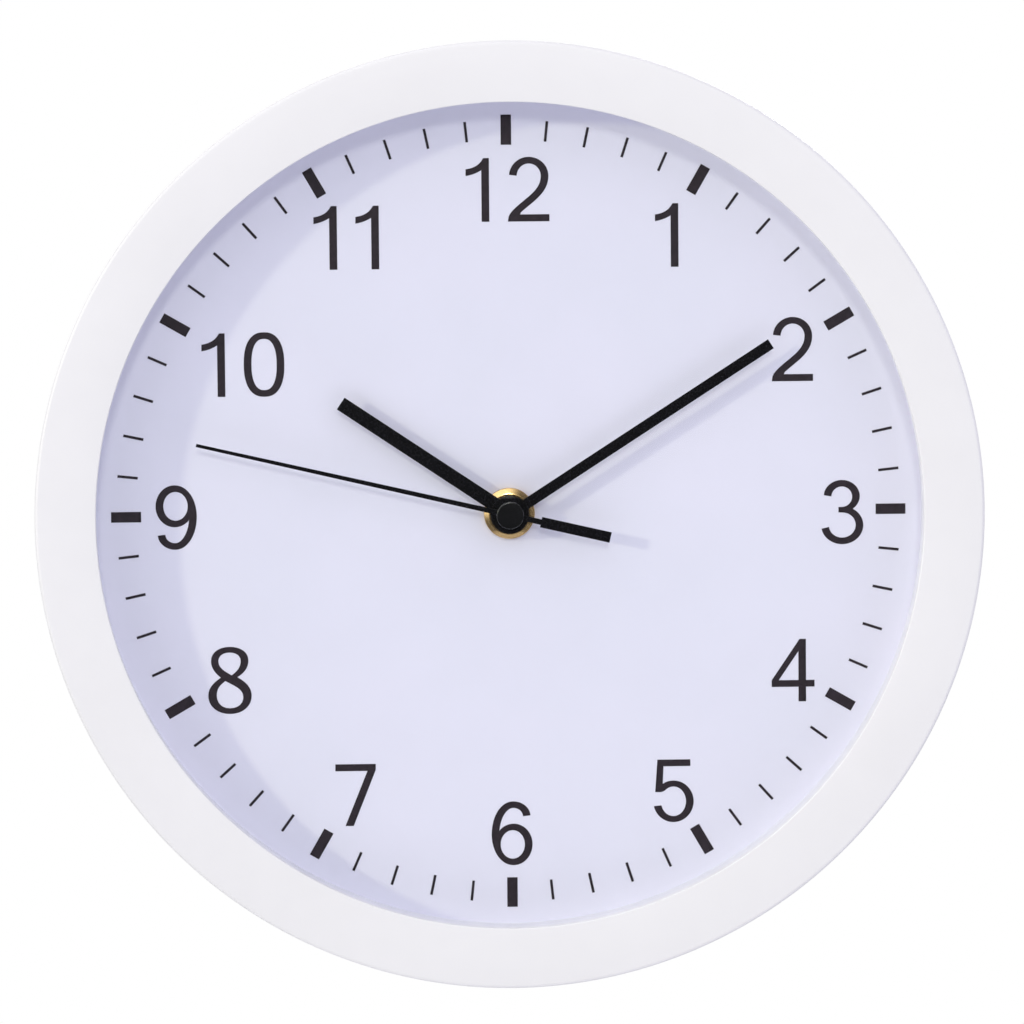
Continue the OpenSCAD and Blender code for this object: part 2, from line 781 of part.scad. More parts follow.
module rotor_magnet() {
    color("#55585c") upright() place(rotor_at) difference() {
        rod(magnet_z, 2.5, 3);
        rod(magnet_z - 1, 5, arbor_r);
    }
}

module rotor_pinion() {
    color("#e9e4d2") upright() place(rotor_at) union() {
        arbor(bridge_z - 0.1);
        rod(bridge_z - 0.2, bridge_t + 0.3, pivot_r);
        slab(rotor_z, 1.2) gear(8, ROTOR_M, true);
    }
}

module intermediate_wheel() {
    color("#f0eee6") upright() place(intermediate_at) difference() {
        union() {
            slab(intermediate_z, 0.7) gear(48, ROTOR_M, false, intermediate_phase);
            slab(second_z - 0.4, intermediate_z - second_z + 0.5) gear(8, TRAIN_M, true);
        }
        rod(second_z - 1, 6, post_r + run);
    }
}

module second_wheel() {
    color("#f0eee6") upright() difference() {
        slab(second_z, 0.8) gear(40, TRAIN_M, false, second_phase);
        rod(second_z - 1, 3, arbor_r);
    }
}

module second_arbor() {
    color("#aeb3b8") upright() union() {
        arbor(second_hand_z + 0.8);
        slab(second_pinion_z, 1.3) gear(8, TRAIN_M, true);
    }
}

module second_hand() {
    neck_w = 1.3;
    weight_w = 2.48;
    weight_y = 7.4;
    color("#141414") upright() clock_turn(second_angle) difference() {
        union() {
            slab(second_hand_z, 0.3) {
                polygon([[-0.62, 0], [0.62, 0], [0.38, second_hand_l], [-0.38, second_hand_l]]);
                translate([-neck_w / 2, -weight_y - 0.5]) square([neck_w, weight_y + 0.5]);
                translate([-weight_w / 2, -tail_l]) square([weight_w, tail_l - weight_y]);
                circle(r = cap_r - 0.4);
            }
            rod(second_hand_z - 0.6, 0.7, 1);
        }
        rod(second_hand_z - 1, 3, arbor_r);
    }
}

module second_hand_cap() {
    color("#101010") upright() translate([0, 0, second_hand_z + 0.3]) difference() {
        rotate_extrude()
            polygon(concat(
                [[0, 0], [cap_r, 0], [cap_r, 0.5]],
                arc([cap_r - 0.45, 0.5], [0.45, 0.45], 10, 70, 10),
                arc([0, 0.5], [4.2, 0.7], 48, 90, 8)));
        rod(-1, 1.5, arbor_r);
    }
}

// ---- Third and centre wheels

module third_wheel() {
    color("#f0eee6") upright() place(third_at) difference() {
        slab(third_z, 0.8) gear(60, TRAIN_M, false, third_phase);
        rod(third_z - 1, 3, arbor_r);
    }
}

module third_arbor() {
    color("#e9e4d2") upright() place(third_at) union() {
        arbor(bridge_z - 0.1);
        rod(bridge_z - 0.2, bridge_t + 0.3, pivot_r);
        slab(third_pinion_z, 1.4) gear(8, CENTRE_M, true);
    }
}

module centre_wheel() {
    color("#f0eee6") upright() difference() {
        slab(centre_z, 1) gear(64, CENTRE_M, false, centre_phase);
        rod(centre_z - 1, 3, pipe_r + run);
    }
}

// ---- Minute arbor, motion work, hour pipe and setting knob

module minute_arbor() {
    color("#c2a04e") upright() difference() {
        union() {
            rod(centre_z - 0.4, minute_hand_z + hand_t - centre_z + 0.4, pipe_r);
            rod(centre_z - 0.4, 0.3, collar_r);
            rod(bridge_z - 0.3, bridge_t + 0.5, collar_r);
            slab(cannon_z, 1.2) gear(12, TRAIN_M, true);
        }
        rod(centre_z - 2, 20, arbor_r + 0.06);
    }
}

module minute_hand() {
    color("#161616") upright() clock_turn(minute_angle) difference() {
        union() {
            slab(minute_hand_z, hand_t) {
                translate([-minute_hand_w / 2, 0]) square([minute_hand_w, minute_hand_l]);
                circle(r = boss_hand_r);
            }
            rod(minute_hand_z - 0.6, 0.7, pipe_r + 0.8);
        }
        rod(minute_hand_z - 1, 3, pipe_r);
    }
}

module minute_wheel() {
    color("#f0eee6") upright() place(minute_wheel_at) difference() {
        union() {
            slab(minute_wheel_z, 0.8) gear(36, TRAIN_M, false, minute_wheel_phase);
            slab(minute_wheel_z + 0.7, 1.7) gear(10, HOUR_M, true);
        }
        rod(minute_wheel_z - 1, 5, post_r + run);
    }
}

module hour_wheel() {
    color("#f0eee6") upright() difference() {
        union() {
            slab(hour_wheel_z, 1) gear(40, HOUR_M, false, hour_phase);
            rod(hour_wheel_z, hour_hand_z + hand_t - hour_wheel_z, hour_pipe_r);
        }
        rod(hour_wheel_z - 1, 14, pipe_r + run);
    }
}

module hour_hand() {
    color("#161616") upright() clock_turn(hour_angle) difference() {
        union() {
            slab(hour_hand_z, hand_t) {
                translate([-hour_hand_w / 2, 0]) square([hour_hand_w, hour_hand_l]);
                circle(r = boss_hand_r - 0.15);
            }
            rod(hour_hand_z - 0.6, 0.7, hour_pipe_r + 0.8);
        }
        rod(hour_hand_z - 1, 3, hour_pipe_r);
    }
}

module setting_knob() {
    knob_r = knob_d / 2;
    knob_t = 3.4;
    knob_z = works_back - 0.3 - knob_t;
    ridges = 36;
    rim = [for (i = [0 : 4 * ridges - 1]) let (a = i * 90 / ridges)
        (knob_r - 0.2 + 0.2 * cos(ridges * a)) * [cos(a), sin(a)]];
    color("#1f2022") upright() place(knob_at) difference() {
        union() {
            slab(knob_z, knob_t) polygon(rim);
            rod(knob_z + 1, cannon_z - knob_z, stem_r);
            slab(cannon_z, 1) gear(12, TRAIN_M, true, knob_phase);
        }
        difference() {
            rod(knob_z - 1, 1.8, knob_r - 1.4);
            rod(knob_z - 1, 2, 2.2);
        }
    }
}

bezel_frame();
glass_lens();
spacer_ring();
dial_sheet();
hour_numerals();
hour_marks();
minute_marks();
back_plate();
cover_screws();
movement_front_shell();
movement_rear_lid();
threaded_bushing();
rubber_washer();
bushing_nut();
train_bridge();
bridge_screws();
intermediate_post();
minute_wheel_post();
stator_plate();
coil_core();
coil_bobbin();
coil_winding();
coil_leads();
circuit_board();
chip_blob();
crystal_can();
positive_contact();
negative_contact();
battery_cell();
battery_cap();
rotor_magnet();
rotor_pinion();
intermediate_wheel();
second_wheel();
second_arbor();
second_hand();
second_hand_cap();
third_wheel();
third_arbor();
centre_wheel();
minute_arbor();
minute_hand();
minute_wheel();
hour_wheel();
hour_hand();
setting_knob();
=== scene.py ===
"""Looks for a round white wall clock with a three-hand quartz movement.

Shapes are drawn lying down in millimetres, with x to the right, y up and z out from the wall,
and are then stood up in the shared frame, where the clock faces -Y.
"""

import math

import bmesh
import bpy
from mathutils import Matrix, Vector
from mathutils.geometry import tessellate_polygon


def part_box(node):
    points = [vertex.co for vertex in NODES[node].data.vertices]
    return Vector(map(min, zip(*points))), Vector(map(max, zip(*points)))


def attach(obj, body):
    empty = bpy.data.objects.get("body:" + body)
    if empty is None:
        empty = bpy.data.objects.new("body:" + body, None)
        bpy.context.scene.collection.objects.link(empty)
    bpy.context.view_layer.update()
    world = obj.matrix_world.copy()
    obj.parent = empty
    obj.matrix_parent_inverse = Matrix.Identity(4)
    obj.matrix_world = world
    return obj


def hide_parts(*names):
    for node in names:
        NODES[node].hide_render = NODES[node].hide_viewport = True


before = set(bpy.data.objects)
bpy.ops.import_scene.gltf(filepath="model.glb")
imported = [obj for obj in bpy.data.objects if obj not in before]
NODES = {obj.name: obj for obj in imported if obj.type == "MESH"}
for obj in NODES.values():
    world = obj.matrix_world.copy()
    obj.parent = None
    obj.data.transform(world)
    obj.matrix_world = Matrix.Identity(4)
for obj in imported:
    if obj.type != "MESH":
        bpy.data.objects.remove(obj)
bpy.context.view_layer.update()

MM = 0.001
UPRIGHT = Matrix(((MM, 0, 0, 0), (0, 0, -MM, 0), (0, MM, 0, 0), (0, 0, 0, 1)))
scene = bpy.context.scene


# ---- Sizes in millimetres, read off the CAD model or the same as there


def extent(node):
    """Lowest and highest corner of a CAD node in the clock's own millimetres."""
    low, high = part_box(node)
    return (
        Vector((low.x, low.z, -high.y)) / MM,
        Vector((high.x, high.z, -low.y)) / MM,
    )


CASE_HIGH = extent("bezel_frame")[1]
GLASS_LOW, GLASS_HIGH = extent("glass_lens")
RING_LOW, RING_HIGH = extent("spacer_ring")
NUT_LOW, NUT_HIGH = extent("bushing_nut")
CASE_R = CASE_HIGH.x
LIP_R = RING_HIGH.x - 2.7  # the bezel's inner edge
WALL_R = GLASS_HIGH.x + 0.3  # inside of the case wall
CROWN_R = CASE_R - 7  # where the bezel's face is highest
SCREW_RING = CASE_R - 6.8  # centres of the cover's screws
SCREW_ANGLES = [30 + 60 * i for i in range(6)]
BUSH_R = 3.85
RIB_H = 3.0
RIB_T = 1.6
POCKET = 56.6  # width of the room for the movement in the cover

# The hands' blades, with angles in degrees clockwise from 12
HOUR_ANGLE = 303.9
MINUTE_ANGLE = 57.3
SECOND_ANGLE = 283.2
BLADE_T = 0.4
SECOND_BLADE_T = 0.3
HAIR = 0.002  # keeps two faces from lying in one plane


# ---- Shading


class Nodes:
    """The shader nodes of one tree."""

    def __init__(self, tree):
        self.tree = tree
        tree.nodes.clear()

    def add(self, kind, **settings):
        node = self.tree.nodes.new("ShaderNode" + kind)
        for key, value in settings.items():
            setattr(node, key, value)
        return node

    def join(self, a, b):
        self.tree.links.new(a, b)

    def remap(self, value, from_low, from_high, to_low, to_high, soft=False):
        node = self.add("MapRange", interpolation_type="SMOOTHSTEP" if soft else "LINEAR")
        for key, number in zip(
            ("From Min", "From Max", "To Min", "To Max"),
            (from_low, from_high, to_low, to_high),
        ):
            node.inputs[key].default_value = number
        self.join(value, node.inputs["Value"])
        return node.outputs["Result"]

    def ramp(self, value, stops):
        """Colours along a pattern; stops lists (position, colour)."""
        node = self.add("ValToRGB")
        elements = node.color_ramp.elements
        while len(elements) < len(stops):
            elements.new(0.5)
        for element, (position, colour) in zip(elements, stops):
            element.position = position
            element.color = (*colour, 1)
        self.join(value, node.inputs["Fac"])
        return node.outputs["Color"]


class Look(Nodes):
    """A procedural material on a Principled shader, in object coordinates."""

    def __init__(self, name, roughness, metallic=0.0, ior=1.46):
        self.material = bpy.data.materials.new(name)
        self.material.use_nodes = True
        super().__init__(self.material.node_tree)
        self.out = self.add("OutputMaterial")
        self.shader = self.add("BsdfPrincipled")
        self.join(self.shader.outputs["BSDF"], self.out.inputs["Surface"])
        self.place = self.add("TexCoord").outputs["Object"]
        self.set("Roughness", roughness)
        self.set("Metallic", metallic)
        self.set("IOR", ior)
        self.normal = None

    def set(self, socket, value):
        self.shader.inputs[socket].default_value = value

    def noise(self, scale, detail=2.0, place=None, dimensions="3D", stretch=None):
        """A noise pattern; scale is in features per metre, and stretch scales each axis."""
        node = self.add("TexNoise", noise_dimensions=dimensions)
        node.inputs["Scale"].default_value = scale
        node.inputs["Detail"].default_value = detail
        place = place or self.place
        if stretch:
            mapping = self.add("Mapping")
            mapping.inputs["Scale"].default_value = stretch
            self.join(place, mapping.inputs["Vector"])
            place = mapping.outputs["Vector"]
        self.join(place, node.inputs["W" if dimensions == "1D" else "Vector"])
        return node.outputs["Fac"]

    def radius(self):
        """Distance from the axis of the hands, in metres."""
        flat = self.add("VectorMath", operation="MULTIPLY")
        flat.inputs[1].default_value = (1, 0, 1)
        length = self.add("VectorMath", operation="LENGTH")
        self.join(self.place, flat.inputs[0])
        self.join(flat.outputs[0], length.inputs[0])
        return length.outputs["Value"]

    def along(self, axis):
        """One coordinate of the point, in metres."""
        split = self.add("SeparateXYZ")
        self.join(self.place, split.inputs[0])
        return split.outputs[axis]

    def tint(self, colour, spread, scale, detail=3.0):
        """A base colour that drifts by a share of itself from place to place."""
        dark = [c * (1 - spread) for c in colour]
        light = [min(1, c * (1 + spread)) for c in colour]
        pattern = self.noise(scale, detail)
        self.join(
            self.ramp(pattern, [(0.3, dark), (0.7, light)]),
            self.shader.inputs["Base Color"],
        )

    def uneven(self, low, high, scale, detail=3.0):
        """A roughness that drifts between two values."""
        value = self.remap(self.noise(scale, detail), 0.3, 0.7, low, high)
        self.join(value, self.shader.inputs["Roughness"])

    def relief(self, pattern, depth):
        """A pattern that stands proud by a depth in metres, on top of any relief before it."""
        bump = self.add("Bump")
        bump.inputs["Distance"].default_value = depth
        bump.inputs["Strength"].default_value = 1.0
        self.join(pattern, bump.inputs["Height"])
        if self.normal:
            self.join(self.normal, bump.inputs["Normal"])
        self.normal = bump.outputs["Normal"]
        self.join(self.normal, self.shader.inputs["Normal"])

    def grain(self, scale, depth, detail=2.0, stretch=None):
        self.relief(self.noise(scale, detail, stretch=stretch), depth)


def plastic(name, colour, roughness, spread=0.012, peel=3e-6, grain=1.2e-6, spot=45, ior=1.49):
    """Moulded plastic: a faint flow pattern, an orange-peel swell and a fine grain."""
    look = Look(name, roughness, ior=ior)
    look.tint(colour, spread, spot)
    look.uneven(roughness - 0.04, roughness + 0.05, spot * 4)
    look.grain(420, peel)
    look.grain(3800, grain)
    return look


def metal(name, colour, roughness, stretch=(1, 1, 1), grain=1.5e-6):
    """Bare metal with its working marks drawn out along one direction."""
    look = Look(name, roughness, metallic=1.0)
    look.tint(colour, 0.05, 260)
    look.uneven(roughness - 0.06, roughness + 0.08, 700)
    look.grain(2600, grain, stretch=stretch)
    return look


def turned(name, colour, roughness):
    """Lathe-turned metal, with fine rings round the axis of the hands."""
    look = Look(name, roughness, metallic=1.0)
    look.tint(colour, 0.07, 420)
    rings = look.noise(9000, 1.0, place=look.radius(), dimensions="1D")
    look.join(
        look.remap(rings, 0.3, 0.7, roughness - 0.05, roughness + 0.1),
        look.shader.inputs["Roughness"],
    )
    look.relief(rings, 2.2e-6)
    look.grain(1800, 1.2e-6)
    return look


def glass_look():
    """A clear pane: it lets light straight through and mirrors more of it the more aslant it is."""
    look = Look("clear_glass_look", 0.0)
    look.tree.nodes.remove(look.shader)
    clear = look.add("BsdfTransparent")
    mirror = look.add("BsdfGlossy")
    slant = look.add("LayerWeight")
    steep = look.add("Math", operation="POWER")
    share = look.add("Math", operation="MULTIPLY_ADD")
    mix = look.add("MixShader")
    tone = look.ramp(
        look.noise(30), [(0.3, (0.985, 0.992, 0.99)), (0.7, (0.995, 0.998, 0.998))]
    )
    look.join(tone, clear.inputs["Color"])
    slant.inputs["Blend"].default_value = 0.5
    steep.inputs[1].default_value = 5
    share.inputs[1].default_value = 0.96
    share.inputs[2].default_value = 0.035
    mirror.inputs["Roughness"].default_value = 0.02
    look.join(slant.outputs["Facing"], steep.inputs[0])
    look.join(steep.outputs[0], share.inputs[0])
    look.join(share.outputs[0], mix.inputs[0])
    look.join(clear.outputs[0], mix.inputs[1])
    look.join(mirror.outputs[0], mix.inputs[2])
    look.join(mix.outputs[0], look.out.inputs["Surface"])
    return look


def paper_look():
    """A smooth coated sheet with a trace of fibre."""
    look = Look("dial_paper_look", 0.62, ior=1.4)
    look.tint((0.815, 0.803, 0.925), 0.008, 70, 5)
    look.uneven(0.56, 0.68, 900)
    look.grain(2600, 1.5e-6, 4)
    look.grain(300, 1e-6)
    return look


def ink_look():
    """Screen-printed ink, a touch uneven in density."""
    look = Look("ink_black_look", 0.5, ior=1.33)
    look.tint((0.024, 0.0165, 0.024), 0.16, 900, 4)
    look.uneven(0.42, 0.58, 1500)
    look.grain(4200, 3e-6, 3)
    return look


def winding_look():
    """Fine enamelled wire wound in level turns along the coil, with painted shade darkening the
    grooves between turns.
    """
    look = Look("copper_look", 0.3, metallic=1.0)
    wave = look.add("TexWave", wave_type="BANDS", bands_direction="Z")
    wave.inputs["Scale"].default_value = 1300
    wave.inputs["Distortion"].default_value = 0.6
    look.join(look.place, wave.inputs["Vector"])
    # Painted shade: the copper colour darkens in the troughs of the bands, which are the grooves
    # between turns, and is full on the crests.
    look.join(
        look.ramp(wave.outputs["Fac"], [(0.1, (0.3, 0.1, 0.04)), (0.7, (0.8, 0.36, 0.16))]),
        look.shader.inputs["Base Color"],
    )
    look.relief(wave.outputs["Fac"], 4e-5)
    return look


def board_look():
    """Green solder mask over faint copper tracks."""
    look = Look("board_green_look", 0.35)
    brick = look.add("TexBrick", offset=0.35)
    brick.inputs["Scale"].default_value = 420
    brick.inputs["Mortar Size"].default_value = 0.03
    brick.inputs["Color1"].default_value = (0.02, 0.13, 0.045, 1)
    brick.inputs["Color2"].default_value = (0.026, 0.15, 0.055, 1)
    brick.inputs["Mortar"].default_value = (0.06, 0.27, 0.09, 1)
    turn = look.add("Mapping")
    turn.inputs["Rotation"].default_value = (math.pi / 2, 0, 0)
    look.join(look.place, turn.inputs["Vector"])
    look.join(turn.outputs["Vector"], brick.inputs["Vector"])
    look.join(brick.outputs["Color"], look.shader.inputs["Base Color"])
    look.relief(brick.outputs["Fac"], 3e-5)
    return look


def jacket_look():
    """The printed foil jacket of a plain dry cell, dark over two thirds of its length."""
    low, high = extent("battery_cell")
    look = Look("cell_jacket_look", 0.3, metallic=0.75)
    share = look.remap(look.along("X"), low.x * MM, high.x * MM, 0, 1)
    silver = (0.62, 0.63, 0.65)
    body = (0.035, 0.05, 0.085)
    rule = (0.5, 0.36, 0.14)
    colours = look.ramp(
        share,
        [
            (0.0, silver), (0.035, silver), (0.04, body), (0.66, body), (0.665, rule),
            (0.685, rule), (0.69, silver), (0.955, silver), (0.96, (0.3, 0.3, 0.31)),
        ],
    )
    look.join(colours, look.shader.inputs["Base Color"])
    look.uneven(0.24, 0.36, 600)
    look.grain(1500, 2e-6, stretch=(0.1, 1, 1))
    return look


LOOKS = {
    "case_white": plastic("case_white_look", (0.762, 0.754, 0.762), 0.42),
    "ring_white": plastic("ring_white_look", (0.84, 0.833, 0.87), 0.5),
    "clear_glass": glass_look(),
    "dial_paper": paper_look(),
    "ink_black": ink_look(),
    "back_white": plastic(
        "back_white_look", (0.76, 0.757, 0.75), 0.48, spread=0.015, peel=5e-6, grain=5e-6
    ),
    "movement_black": plastic(
        "movement_black_look", (0.021, 0.022, 0.025), 0.46,
        spread=0.12, peel=4e-6, grain=1.4e-5, spot=160,
    ),
    "brass": turned("brass_look", (0.64, 0.44, 0.2), 0.17),
    "rubber_black": plastic(
        "rubber_black_look", (0.017, 0.017, 0.018), 0.75, spread=0.1, peel=4e-6, grain=9e-6
    ),
    "gear_nylon": plastic(
        "gear_nylon_look", (0.74, 0.71, 0.61), 0.4, spread=0.02, peel=2e-6, grain=1e-6, spot=500
    ),
    "steel": metal("steel_look", (0.62, 0.63, 0.65), 0.28, stretch=(0.15, 1, 1)),
    "silicon_steel": metal(
        "silicon_steel_look", (0.33, 0.34, 0.36), 0.42, stretch=(1, 1, 0.12), grain=3e-6
    ),
    "ferrite": plastic(
        "ferrite_look", (0.075, 0.074, 0.078), 0.55, spread=0.2, peel=3e-6, grain=8e-6, spot=900
    ),
    "copper": winding_look(),
    "board_green": board_look(),
    "epoxy_black": plastic(
        "epoxy_black_look", (0.012, 0.012, 0.013), 0.2, spread=0.2, peel=6e-6, grain=1e-6, spot=600
    ),
    "cell_jacket": jacket_look(),
    "hand_black": plastic(
        "hand_black_look", (0.0045, 0.0043, 0.006), 0.26,
        spread=0.1, peel=6e-7, grain=3e-7, spot=400, ior=1.28,
    ),
}
CAP_LOOK = plastic(
    "cap_black_look", (0.008, 0.008, 0.009), 0.16, spread=0.15, peel=1e-6, grain=6e-7, spot=400
)
CELL_END_LOOK = metal("cell_end_look", (0.66, 0.66, 0.67), 0.22)


# ---- Shaping


def arc(centre, radius, start, end, steps):
    """Points on an arc, angles in degrees counter-clockwise from the right."""
    return [
        (
            centre[0] + radius * math.cos(math.radians(start + (end - start) * i / steps)),
            centre[1] + radius * math.sin(math.radians(start + (end - start) * i / steps)),
        )
        for i in range(steps + 1)
    ]


def rounded(corners, radius, steps=4):
    """The outline with each corner replaced by an arc tangent to its two sides.

    radius is one number, or one for each corner."""
    radii = radius if isinstance(radius, (list, tuple)) else [radius] * len(corners)
    outline = []
    for i, corner in enumerate(corners):
        here = Vector(corner)
        before = (Vector(corners[i - 1]) - here).normalized()
        after = (Vector(corners[(i + 1) % len(corners)]) - here).normalized()
        r = radii[i]
        if r <= 0:
            outline.append(tuple(here))
            continue
        half = before.angle(after) / 2
        centre = here + (before + after).normalized() * (r / math.sin(half))
        first = here + before * (r / math.tan(half)) - centre
        last = here + after * (r / math.tan(half)) - centre
        a, b = math.atan2(first.y, first.x), math.atan2(last.y, last.x)
        turn = (b - a + math.pi) % (2 * math.pi) - math.pi
        for k in range(steps + 1):
            t = a + turn * k / steps
            outline.append((centre.x + r * math.cos(t), centre.y + r * math.sin(t)))
    return outline


def circle(centre, radius, steps):
    """A closed loop of points round a centre."""
    return arc(centre, radius, 0, 360, steps)[:-1]


def square(half):
    """The corners of a square round the axis of the hands, from half its width."""
    return [(-half, -half), (half, -half), (half, half), (-half, half)]


def turned_clockwise(outline, degrees):
    a = math.radians(degrees)
    return [
        (x * math.cos(a) + y * math.sin(a), y * math.cos(a) - x * math.sin(a)) for x, y in outline
    ]


def signed_area(loop):
    return sum(
        a[0] * b[1] - b[0] * a[1] for a, b in zip(loop, list(loop[1:]) + [loop[0]])
    ) / 2


def moved_in(loop, distance):
    """A loop moved towards the material on its left, along the mitre of each corner."""
    moved = []
    for i, corner in enumerate(loop):
        here = Vector(corner)
        along = (here - Vector(loop[i - 1])).normalized()
        onward = (Vector(loop[(i + 1) % len(loop)]) - here).normalized()
        left = Vector((-along.y, along.x)) + Vector((-onward.y, onward.x))
        if left.length < 1e-9:
            left = Vector((-along.y, along.x))
        left.normalize()
        reach = max(0.35, left.dot(Vector((-along.y, along.x))))
        moved.append(tuple(here + left * (distance / reach)))
    return moved


def add_plate(bm, loops, low, high, edge=0.1, steps=3, back_edge=None):
    """A flat plate with rounded edges. The first loop is its outline, the rest its holes."""
    back_edge = edge if back_edge is None else back_edge
    levels = []
    for r, face, way in ((back_edge, low, 1), (edge, high, -1)):
        part = []
        for i in range(steps + 1 if r else 1):
            t = math.radians(90 * i / steps)
            part.append((r * (1 - math.sin(t)), face + way * r * (1 - math.cos(t))))
        levels.append(part)
    section = levels[0] + levels[1][::-1]
    caps = ([], [])
    for n, loop in enumerate(loops):
        if (signed_area(loop) > 0) != (n == 0):
            loop = list(loop)[::-1]
        rings = [
            [bm.verts.new((x, y, z)) for x, y in (moved_in(loop, d) if d else loop)]
            for d, z in section
        ]
        for a, b in zip(rings, rings[1:]):
            for i in range(len(loop)):
                j = (i + 1) % len(loop)
                bm.faces.new((a[i], a[j], b[j], b[i]))
        caps[0].append(rings[0])
        caps[1].append(rings[-1])
    for cap in caps:
        flat = [v for ring in cap for v in ring]
        for corners in tessellate_polygon([[v.co for v in ring] for ring in cap]):
            bm.faces.new([flat[i] for i in corners])


def add_turning(bm, outline, steps, axis=Matrix.Identity(4)):
    """A solid of revolution about z; outline lists (radius, height) round its section."""
    rings = []
    for r, z in outline:
        angles = [2 * math.pi * i / steps for i in range(steps if r > 1e-6 else 1)]
        rings.append(
            [bm.verts.new(axis @ Vector((r * math.cos(a), r * math.sin(a), z))) for a in angles]
        )
    for a, b in zip(rings, rings[1:] + rings[:1]):
        for i in range(steps):
            corners = [a[i % len(a)], a[(i + 1) % steps % len(a)]]
            corners += [b[(i + 1) % steps % len(b)], b[i % len(b)]]
            corners = list(dict.fromkeys(corners))
            if len(corners) > 2:
                bm.faces.new(corners)
    return bm


def piece(name, bm, body, slot, stands_for=(), look=None, sharp=40):
    """Stands a shape up in the shared frame, smooths it and puts it on a CAD body."""
    bmesh.ops.recalc_face_normals(bm, faces=bm.faces)
    bm.transform(UPRIGHT)
    mesh = bpy.data.meshes.new(name)
    bm.to_mesh(mesh)
    bm.free()
    mesh.polygons.foreach_set("use_smooth", [True] * len(mesh.polygons))
    mesh.set_sharp_from_angle(angle=math.radians(sharp))
    mesh.materials.append((look or LOOKS[slot]).material)
    obj = bpy.data.objects.new(name, mesh)
    scene.collection.objects.link(obj)
    even = obj.modifiers.new("even_faces", "WEIGHTED_NORMAL")
    even.keep_sharp = True
    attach(obj, body)
    if stands_for:
        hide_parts(*stands_for)


# ---- CAD nodes that stay: a finish for each, and eased edges on the ones that show

# How wide each edge is eased
EASED = {
    "movement_front_shell": 0.3,
    "movement_rear_lid": 0.25,
    "setting_knob": 0.12,
    "cover_screws": 0.12,
    "train_bridge": 0.1,
    "circuit_board": 0.08,
    "stator_plate": 0.08,
    "coil_core": 0.08,
}

for node_name, node in NODES.items():
    for material_slot in node.material_slots:
        material_slot.material = LOOKS[material_slot.material.name].material

for node_name, width in EASED.items():
    node = NODES[node_name]
    weld = node.modifiers.new("weld", "WELD")
    weld.merge_threshold = 2e-6
    flatten = node.modifiers.new("flatten", "DECIMATE")
    flatten.decimate_type = "DISSOLVE"
    flatten.angle_limit = math.radians(0.6)
    ease = node.modifiers.new("ease", "BEVEL")
    ease.width = width * MM
    ease.segments = 2
    ease.limit_method = "ANGLE"
    ease.angle_limit = math.radians(40)
    ease.use_clamp_overlap = True
    even = node.modifiers.new("even_faces", "WEIGHTED_NORMAL")
    even.keep_sharp = True


# ---- Case

DOME_DROP = 0.15
DOME_HALF = 6.0
EDGE_ROUND = 0.9
EDGE_TILT = 84
LIP_ROUND = 0.25


def crown_z(r):
    """Height of the bezel's face at a radius."""
    return CASE_HIGH.z - DOME_DROP * ((r - CROWN_R) / DOME_HALF) ** 2


def build_case():
    outer_r = CASE_R - EDGE_ROUND * (1 - math.cos(math.radians(EDGE_TILT)))
    inner_r = LIP_R + LIP_ROUND * 0.86  # where the lip's arc starts
    edge_z = crown_z(outer_r) - EDGE_ROUND * math.sin(math.radians(EDGE_TILT))
    edge = arc((CASE_R - EDGE_ROUND, edge_z), EDGE_ROUND, 0, EDGE_TILT, 14)
    face = [outer_r + (inner_r - outer_r) * i / 32 for i in range(1, 32)]
    lip = arc((LIP_R + LIP_ROUND, crown_z(inner_r) - LIP_ROUND), LIP_ROUND, 98, 180, 8)
    seat = GLASS_HIGH.z
    rear_r = CASE_R - 1.2
    profile = (
        rounded([(WALL_R, 0), (rear_r, 0), edge[0]], [0.6, 0.8, 0], 5)
        + edge[1:]
        + [(r, crown_z(r)) for r in face]
        + lip
        + [(LIP_R, seat + 0.05), (LIP_R + 0.05, seat), (WALL_R, seat)]
    )
    bm = add_turning(bmesh.new(), profile, 320)
    piece("case_shell", bm, "case", "case_white", ["bezel_frame"], sharp=50)


def build_ring():
    inner, outer = LIP_R + 0.8, RING_HIGH.x
    profile = rounded(
        [(inner, RING_LOW.z), (outer, RING_LOW.z), (outer, RING_HIGH.z), (inner, RING_HIGH.z)],
        [0.05, 0.1, 0.2, 0.25],
        3,
    )
    bm = add_turning(bmesh.new(), profile, 320)
    piece("dial_ring", bm, "case", "ring_white", ["spacer_ring"])


def build_back():
    """The cover behind the dial: a disc with a web of ribs and a walled pocket for the movement."""
    low, high = extent("back_plate")
    rear, root = low.z + RIB_H, low.z + RIB_H + 0.4
    hoop_r = CASE_R - 11.8
    bm = bmesh.new()
    holes = [circle((0, 0), BUSH_R + 0.25, 64)]
    for a in map(math.radians, SCREW_ANGLES):
        holes.append(circle((SCREW_RING * math.cos(a), SCREW_RING * math.sin(a)), 1.7, 32))
    add_plate(bm, [circle((0, 0), high.x, 240)] + holes, rear, high.z, 0.15, 2, 0.3)
    wall = rounded(square(POCKET / 2 + RIB_T), 3, 8)
    add_plate(bm, [wall, rounded(square(POCKET / 2), 2.2, 8)], low.z, root, 0, 3, 0.3)
    for i in range(12):
        a = math.radians(15 + 30 * i)
        start = (POCKET / 2 + RIB_T - 0.4) / max(abs(math.cos(a)), abs(math.sin(a)))
        half = RIB_T / 2
        rib = [(start, -half), (hoop_r - 1, -half), (hoop_r - 1, half), (start, half)]
        add_plate(bm, [turned_clockwise(rib, -math.degrees(a))], low.z, root, 0, 3, 0.3)
    hoop = [(hoop_r - RIB_T, low.z), (hoop_r, low.z), (hoop_r, root), (hoop_r - RIB_T, root)]
    add_turning(bm, rounded(hoop, [0.3, 0.3, 0, 0], 3), 240)
    piece("rear_cover", bm, "case", "back_white", ["back_plate"])


